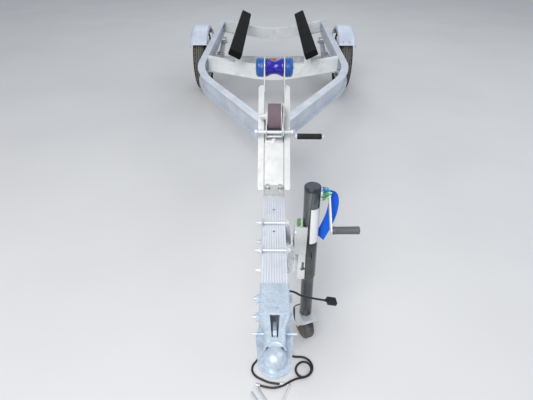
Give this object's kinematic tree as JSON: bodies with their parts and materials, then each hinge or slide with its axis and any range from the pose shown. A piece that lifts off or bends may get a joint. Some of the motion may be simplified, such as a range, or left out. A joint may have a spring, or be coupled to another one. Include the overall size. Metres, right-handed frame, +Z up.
{
  "type": "boat trailer",
  "caption": "Single-axle boat trailer with a bent I-beam frame, carpeted bunks, sprung axle, fenders, winch post with bow roller, ball coupler and swivel caster jack.",
  "frame": {"origin": "on the ground, in the middle of the trailer's length and width", "axes": "+X to the trailer's left side when towed (the jack side), +Y to the rear, +Z up"},
  "size_m": [1.456, 3.996, 0.8845],
  "materials": {
    "rail_aluminium": "brushed",
    "zinc": "zinc plated",
    "galvanised": "hot-dip galvanised",
    "dark_zinc": "glossy zinc",
    "carpet": "carpet",
    "fender_sheet": "satin",
    "tyre": "dusty",
    "caster_plastic": "matte",
    "roller_core": "glossy",
    "roller_bell": "satin",
    "webbing": "woven",
    "black_grip": "satin",
    "cap_plastic": "glossy",
    "lamp_black": "matte",
    "lamp_red": "glossy",
    "black_cable": "satin",
    "tie_web": "woven"
  },
  "bodies": {
    "trailer": {"axle_beam": "galvanised", "bunk_brackets": "rail_aluminium", "bunk_left": "carpet", "bunk_right": "carpet", "cable_anchors": "zinc", "cable_hooks": "zinc", "coupler": "zinc", "coupler_latch": "zinc", "crossmember_brackets": "galvanised", "fender_brackets": "rail_aluminium", "fender_left": "fender_sheet", "fender_right": "fender_sheet", "front_crossmember": "rail_aluminium", "jack_bracket": "zinc", "lead_plug": "black_grip", "leaf_spring_left": "galvanised", "leaf_spring_right": "galvanised", "rear_crossmember": "rail_aluminium", "roller_pin": "zinc", "safety_cable_left": "black_cable", "safety_cable_right": "black_cable", "side_rail_left": "rail_aluminium", "side_rail_right": "rail_aluminium", "spring_fittings_left": "galvanised", "spring_fittings_right": "galvanised", "tail_light_housings": "lamp_black", "tail_light_lenses": "lamp_red", "tongue_gusset": "rail_aluminium", "tongue_tube": "rail_aluminium", "trailer_lead": "black_cable", "winch_crank": "zinc", "winch_drum": "zinc", "winch_frame": "zinc", "winch_grip": "black_grip", "winch_post": "zinc", "winch_strap": "webbing"},
    "wheel_left": {"tyre_left": "tyre", "rim_left": "galvanised", "hub_left": "zinc"},
    "wheel_right": {"tyre_right": "tyre", "rim_right": "galvanised", "hub_right": "zinc"},
    "jack": {"jack_tube": "dark_zinc", "jack_cap": "cap_plastic", "jack_crank": "zinc", "jack_grip": "black_grip", "tie_strap": "tie_web"},
    "jack_leg": {"jack_ram": "dark_zinc"},
    "caster": {"caster_fork": "zinc"},
    "caster_wheel": {"caster_wheel": "caster_plastic"},
    "bow_roller": {"roller_core": "roller_core", "roller_bells": "roller_bell"}
  },
  "joints": [
    {"name": "wheel_left_spin", "type": "hinge", "parent": "trailer", "child": "wheel_left", "pos_m": [-0.652, 1.27, 0.266], "axis": [1, 0, 0], "continuous": true},
    {"name": "wheel_right_spin", "type": "hinge", "parent": "trailer", "child": "wheel_right", "pos_m": [0.652, 1.27, 0.266], "axis": [1, 0, 0], "continuous": true},
    {"name": "jack_swivel", "type": "hinge", "parent": "trailer", "child": "jack", "pos_m": [0.065, -1.56, 0.452], "axis": [1, 0, 0], "range_deg": [0, 90]},
    {"name": "jack_extend", "type": "slide", "parent": "jack", "child": "jack_leg", "axis": [0.0201, 0, -0.9998], "range_m": [-0.17, 0.084]},
    {"name": "caster_swivel", "type": "hinge", "parent": "jack_leg", "child": "caster", "pos_m": [0.12102, -1.56, 0.15206], "axis": [-0.0201, 0, 0.9998], "continuous": true},
    {"name": "caster_spin", "type": "hinge", "parent": "caster", "child": "caster_wheel", "pos_m": [0.11739, -1.546, 0.06518], "axis": [0.9334, 0.3584, 0.0187], "continuous": true},
    {"name": "bow_roller_spin", "type": "hinge", "parent": "trailer", "child": "bow_roller", "pos_m": [0, -0.90677, 0.84601], "axis": [1, 0, 0], "continuous": true}
  ]
}
